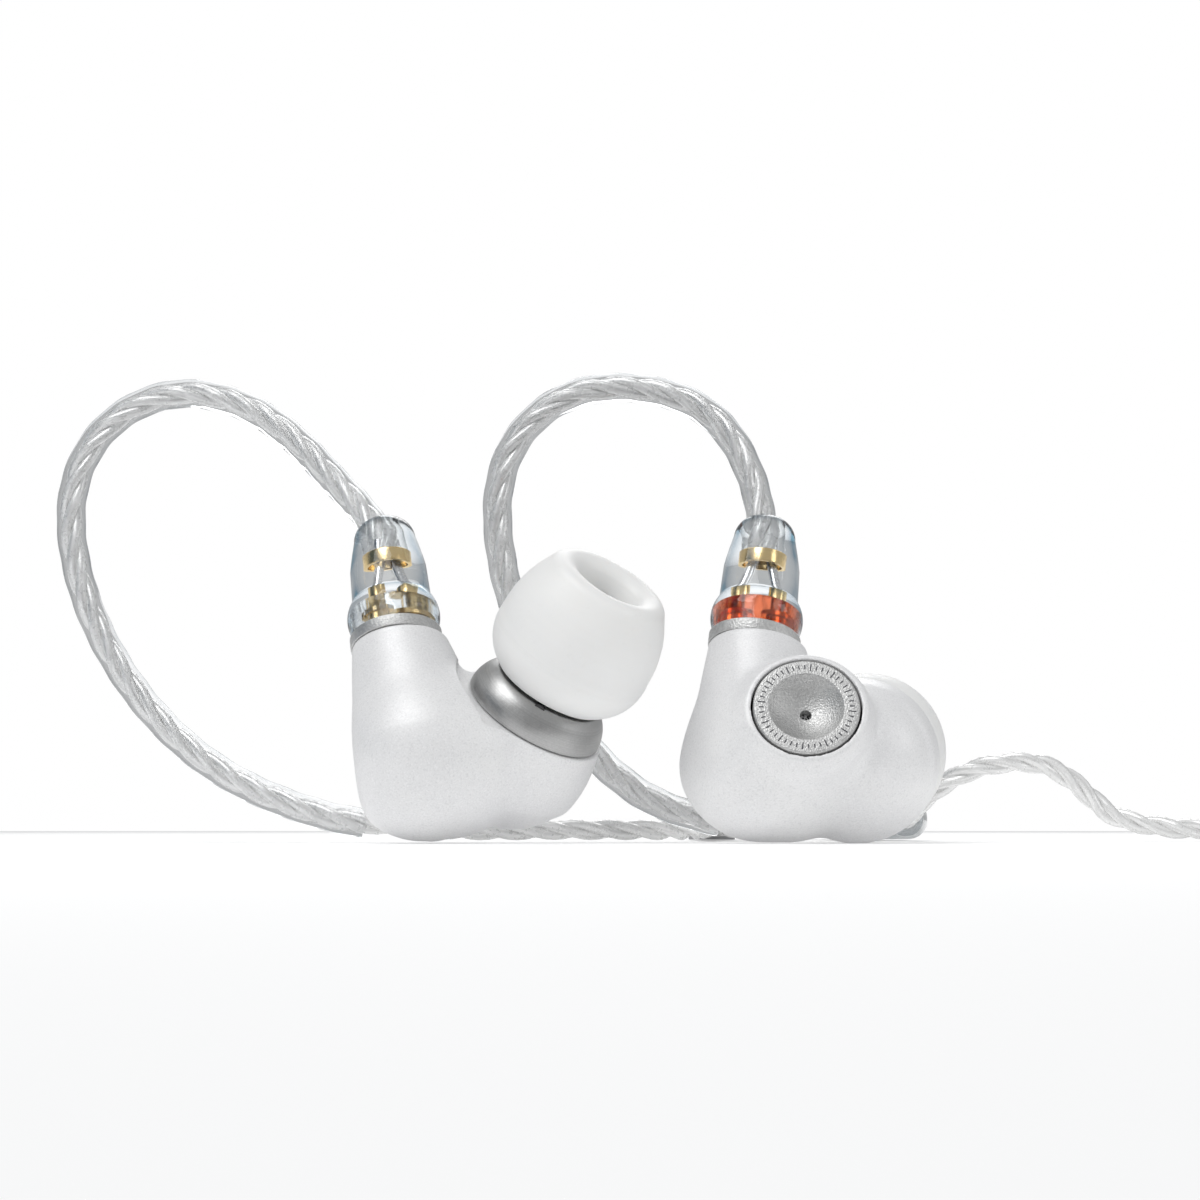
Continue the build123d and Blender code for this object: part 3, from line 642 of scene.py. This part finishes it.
# ---------------------------------------------------------------- cables
LEFT_HOOK = [
    (-16.81, 5.68, 22.2), (-17.0, 6.3, 23.4), (-18.7, 9.4, 26.2), (-21.5, 11.4, 29.1),
    (-24.5, 13.0, 32.4), (-27.7, 14.2, 34.9), (-30.9, 15.0, 36.3), (-34.3, 15.4, 36.8),
    (-37.7, 15.6, 36.0), (-40.7, 15.5, 33.9), (-42.7, 15.2, 30.7), (-43.4, 15.0, 26.9),
    (-42.9, 14.7, 22.8), (-41.6, 14.4, 18.7), (-39.6, 14.1, 14.8), (-36.9, 13.8, 11.0),
    (-33.4, 13.4, 7.5), (-29.4, 13.0, 4.8), (-25.0, 12.6, 2.9), (-20.9, 12.2, 1.7),
]
RIGHT_HOOK = [
    (12.87, 6.3, 22.3), (13.0, 6.8, 23.6), (12.8, 9.0, 26.8), (12.0, 10.2, 29.9), (10.4, 11.2, 33.0),
    (8.0, 12.0, 35.3), (4.8, 12.4, 36.5), (1.4, 12.6, 36.9), (-2.1, 12.6, 36.4), (-5.1, 12.4, 34.6),
    (-7.3, 12.2, 31.8), (-8.3, 12.0, 28.4), (-8.3, 11.8, 24.8), (-7.6, 11.6, 20.8), (-6.3, 11.4, 16.9),
    (-4.5, 11.2, 12.9), (-2.3, 11.0, 9.1), (0.5, 10.8, 5.8), (4.0, 10.6, 3.2), (7.8, 10.4, 1.9),
]
LEFT_BRANCH = [
    (-16.9, 12.3, 1.2), (-12.6, 13.0, 0.95), (-8.0, 12.2, 0.9), (-3.4, 12.6, 0.95), (1.2, 13.6, 0.9),
    (5.2, 15.8, 0.9), (7.9, 19.6, 0.9), (8.9, 24.4, 1.0), (9.2, 29.4, 1.2),
]
RIGHT_BRANCH = [
    (11.6, 11.1, 1.15), (13.6, 14.4, 0.95), (13.8, 18.4, 0.9), (12.6, 22.7, 0.9), (11.4, 27.2, 1.0),
    (10.9, 31.8, 1.2),
]
LEFT_TAIL = [
    (9.2, 55.0, 4.5), (9.2, 60.5, 4.2), (11.8, 66.2, 2.8), (17.8, 68.8, 1.6), (24.5, 67.6, 1.2),
    (27.3, 63.6, 1.6), (27.37, 58.4, 1.8), (27.37, 41.0, 1.8),
]
RIGHT_TAIL = [
    (10.95, 55.0, 4.5), (11.0, 59.8, 4.2), (13.6, 64.6, 2.8), (18.4, 66.5, 1.6), (22.6, 65.8, 1.3),
    (25.4, 63.0, 1.6), (25.63, 59.0, 1.8), (25.63, 41.0, 1.8),
]
MAIN = [
    (26.5, 33.0, 1.8), (26.5, 28.8, 2.1), (27.7, 25.6, 3.9), (30.8, 24.0, 5.9), (34.6, 23.8, 6.7),
    (38.0, 24.2, 6.3), (40.8, 24.6, 4.2), (43.0, 24.4, 1.9), (47.6, 23.3, 1.0), (52.0, 21.7, 0.95),
    (56.4, 19.9, 1.0),
]
LEAD = [(76.8, 14.2, 3.0), (81.6, 14.8, 2.8), (85.2, 17.8, 2.9), (86.8, 22.2, 3.1), (87.0, 27.0, 3.2)]
BRANCH_D, MAIN_D, SLEEVE_D = 1.7, 1.8, 2.4
SLEEVE_OVERRUN = 8  # points of the cable's line past the hook's last route point
LAYERS = (1.15, 2.85, 4.55)
HANK_X, HANK_NEAR, HANK_FAR, BEND_OUT = 16.0, 32.65, 56.65, 1.035
COIL_X, COIL_Y, COIL_TURNS, COIL_STEPS = 68.5, 28.0, 11, 16


def hank(radius):
    """Two and a half rounds of the hank, up the left side, down the right."""
    left_x, right_x, out = HANK_X - radius, HANK_X + radius, radius * BEND_OUT
    points = []
    for i in range(3):
        points += [(left_x, 38.0, LAYERS[i]), (left_x, 46.0, LAYERS[i])]
        if i == 2:
            break
        points.append((left_x, 54.0, LAYERS[i]))
        for k in range(6):
            a = math.pi - math.pi * (k + 0.5) / 6
            points.append((HANK_X + out * math.cos(a), HANK_FAR + out * math.sin(a), LAYERS[i]))
        for y, share in ((54.0, 0.05), (47.0, 0.3), (40.0, 0.7), (34.0, 0.95)):
            points.append((right_x, y, LAYERS[i] + 1.7 * share))
        for k in range(6):
            a = -math.pi * (k + 0.5) / 6
            points.append((HANK_X + out * math.cos(a), HANK_NEAR + out * math.sin(a), LAYERS[i + 1]))
    return points


def coil():
    """Eleven turns in four columns and three layers, each turn one place on from the last."""
    places = [
        (12.7, 1.2), (10.9, 1.2), (9.1, 1.2), (7.3, 1.2), (7.3, 3.0), (7.3, 4.8), (9.1, 4.8),
        (9.1, 3.0), (10.9, 3.0), (10.9, 4.8), (12.7, 4.8), (12.7, 3.0),
    ]
    start, turn = math.radians(229.2), 2 * math.pi / COIL_STEPS
    points = []
    for i in range(COIL_STEPS * COIL_TURNS + 3):
        cell, step = divmod(i, COIL_STEPS)
        (r, z), (r_next, z_next) = places[cell], places[min(cell + 1, 11)]
        share = max(0.0, (step - 13) / 3.0)
        r, z = r + (r_next - r) * share, z + (z_next - z) * share
        r = r * 1.02 + 0.10 * math.sin(1.7 * i / COIL_STEPS + 2.1 * cell)
        a = start + i * turn
        points.append((COIL_X + r * math.cos(a), COIL_Y + r * math.sin(a), z))
    return points


def line_through(name, route):
    """The smooth line of a route, read from its NURBS spline, in metres."""
    data = bpy.data.curves.new(name, "CURVE")
    data.dimensions = "3D"
    data.resolution_u = 14
    spline = data.splines.new("NURBS")
    spline.points.add(len(route) - 1)
    for point, place in zip(spline.points, placed(route)):
        point.co = (*place, 1.0)
    spline.order_u = 3
    spline.use_endpoint_u = True
    obj = bpy.data.objects.new(name, data)
    mesh = bpy.data.meshes.new_from_object(obj)
    line = np.array([v.co for v in mesh.vertices], float)
    bpy.data.meshes.remove(mesh)
    bpy.data.curves.remove(data)
    return line


def frames(line, step):
    """Evenly spaced points of a line, and two directions square to it that do not twist."""
    along = np.concatenate([[0], np.cumsum(np.linalg.norm(np.diff(line, axis=0), axis=1))])
    at = np.linspace(0, along[-1], max(2, int(along[-1] / step)))
    p = np.stack([np.interp(at, along, line[:, i]) for i in range(3)], 1)
    t = np.gradient(p, axis=0)
    t /= np.linalg.norm(t, axis=1)[:, None]
    u = np.zeros_like(p)
    first = np.cross(t[0], (0.3, 1.0, 0.2))
    u[0] = first / np.linalg.norm(first)
    for i in range(1, len(p)):
        v = u[i - 1] - t[i] * (u[i - 1] @ t[i])
        u[i] = v / np.linalg.norm(v)
    return at, p, u, np.cross(t, u)


def swept(name, tubes, slot, attributes):
    """Closed tubes, each from an array of rings of points."""
    points, faces, base = [], [], 0
    for tube in tubes:
        count, sides = tube.shape[:2]
        points.append(tube.reshape(-1, 3))
        for i in range(count - 1):
            for k in range(sides):
                n = (k + 1) % sides
                low, high = base + i * sides, base + (i + 1) * sides
                faces.append((low + k, low + n, high + n, high + k))
        faces.append(tuple(base + k for k in reversed(range(sides))))
        faces.append(tuple(base + (count - 1) * sides + k for k in range(sides)))
        base += count * sides
    return piece(name, np.concatenate(points), faces, slot, 60.0, attributes)


def rope(name, line, diameter, strands=3, pitch=9.0, sides=11, step=0.30):
    """Strands laid round a line, each with finer wires drawn in its finish and painted shade between them.
    """
    at, p, u, v = frames(line, step * MM)
    strand_r = diameter * MM * 0.262
    lay_r = diameter * MM / 2 - strand_r
    rings, along, around = [], [], []
    turn = 2 * np.pi * at / (pitch * MM)
    ring = 2 * np.pi * np.arange(sides) / sides
    for s in range(strands):
        a = turn + 2 * np.pi * s / strands
        loose = 0.98 + 0.02 * np.sin(at / MM * 0.9 + 2.0 * s)
        centre = p + (lay_r * loose)[:, None] * (np.cos(a)[:, None] * u + np.sin(a)[:, None] * v)
        b = a[:, None] + ring[None, :]
        round_it = np.cos(b)[..., None] * u[:, None, :] + np.sin(b)[..., None] * v[:, None, :]
        rings.append(centre[:, None, :] + strand_r * round_it)
        along.append(np.repeat(at / MM, sides))
        around.append(np.tile(np.arange(sides) / sides, len(at)))
    attributes = {"along_mm": np.concatenate(along), "around": np.concatenate(around)}
    return swept(name, rings, "bare_cable", attributes)


def sleeve(name, line, diameter, pitch=9.0, sides=36, step=0.25):
    """A clear tube shrunk on the strands, so that it shows their lay a little."""
    at, p, u, v = frames(line, step * MM)
    ring = 2 * np.pi * np.arange(sides) / sides
    twist = 2 * np.pi * at / (pitch * MM)
    radius = diameter * MM / 2 * (1 - 0.025 + 0.025 * np.cos(3 * (ring[None, :] - twist[:, None])))
    radius[-1] *= 0.93
    round_it = np.cos(ring)[None, :, None] * u[:, None, :] + np.sin(ring)[None, :, None] * v[:, None, :]
    tube = p[:, None, :] + radius[..., None] * round_it
    return swept(name, [tube], "sleeved_cable", {"along_mm": np.repeat(at / MM, sides)})


def branches():
    """Each side's cable and the clear sleeve on its hook, which bend from the plug to the floor."""
    sides = (
        ("left", LEFT_HOOK, LEFT_BRANCH, 6.8, LEFT_TAIL),
        ("right", RIGHT_HOOK, RIGHT_BRANCH, 5.1, RIGHT_TAIL),
    )
    made = {}
    for side, hook, branch, radius, tail in sides:
        line = line_through(f"{side}_line", hook + branch + hank(radius) + tail)
        cable = rope(f"{side}_cable", line, BRANCH_D)
        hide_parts(f"{side}_branch_cable", f"{side}_branch_tail")
        hook_end = int(np.argmin(np.linalg.norm(line - placed(hook[-1]), axis=1)))
        clear = sleeve(f"{side}_hook_sleeve", line[:hook_end + SLEEVE_OVERRUN], SLEEVE_D)
        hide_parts(f"{side}_ear_hook_cable")
        for obj in (cable, clear):
            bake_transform(obj)
        made[side] = (cable, line, clear)
    return made


def main_cord():
    """The joined cable from the Y-split, over its arch, round the coil to the plug."""
    line = line_through("main_line", MAIN + coil() + LEAD)
    cable = rope("main_cable_rope", line, MAIN_D, pitch=8.0)
    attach(cable, "root")
    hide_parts("main_cable", "main_coil", "jack_lead")
    return cable, line


def rounded(node, slot, width_mm):
    """A CAD node kept as it is, with its edges eased and a finish put on."""
    obj = dress(node, slot)
    bevel = obj.modifiers.new("eased", "BEVEL")
    bevel.width = width_mm * MM
    bevel.segments = 3
    bevel.limit_method = "ANGLE"
    bevel.angle_limit = math.radians(40)
    return obj


def dress(node, slot):
    """A CAD node kept as it is, with a finish put on."""
    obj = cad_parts[node]
    if not obj.material_slots:
        obj.data.materials.append(LOOKS[slot])
    for holder in obj.material_slots:
        holder.material = LOOKS[slot]
    return obj


def kept_nodes():
    finishes = {
        "socket_contacts": "gold_plate", "socket_block": "black_plastic", "driver_leads": "copper",
        "plug_pins": "gold_plate", "plug_wires": "silver_fitting",
        "nozzle_mesh": "steel_mesh", "vent_mesh": "steel_mesh", "driver_cover": "driver_metal",
        "driver_basket": "driver_metal", "driver_yoke": "driver_metal", "driver_magnet": "magnet_dark",
        "driver_top_plate": "driver_metal", "voice_coil": "copper", "diaphragm": "film",
    }
    for ear in EARS:
        for node, slot in finishes.items():
            dress(f"{ear.side}_{node}", slot)
    dress("left_marker_insert", "clear_insert")
    dress("right_marker_insert", "red_insert")


def main():
    camera()
    studio()
    kept_nodes()
    cords = branches()
    main_cable, main_line = main_cord()
    fittings = [rounded("y_split", "clear_fitting", 0.15), rounded("chin_slider", "clear_fitting", 0.15)]
    for side in ("left", "right"):
        if side == "left":
            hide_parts("branch_hank")
    ties = rounded("cable_ties", "hook_strap", 0.3)
    jack = [dress("jack_barrel", "silver_fitting"), dress("jack_contacts", "gold_plate"),
            dress("jack_insulators", "insulator")]
    shells()
    for ear in EARS:
        collar(ear)
        nozzle(ear)
        tip(ear)
        medallion(ear)
        plug(ear)


main()
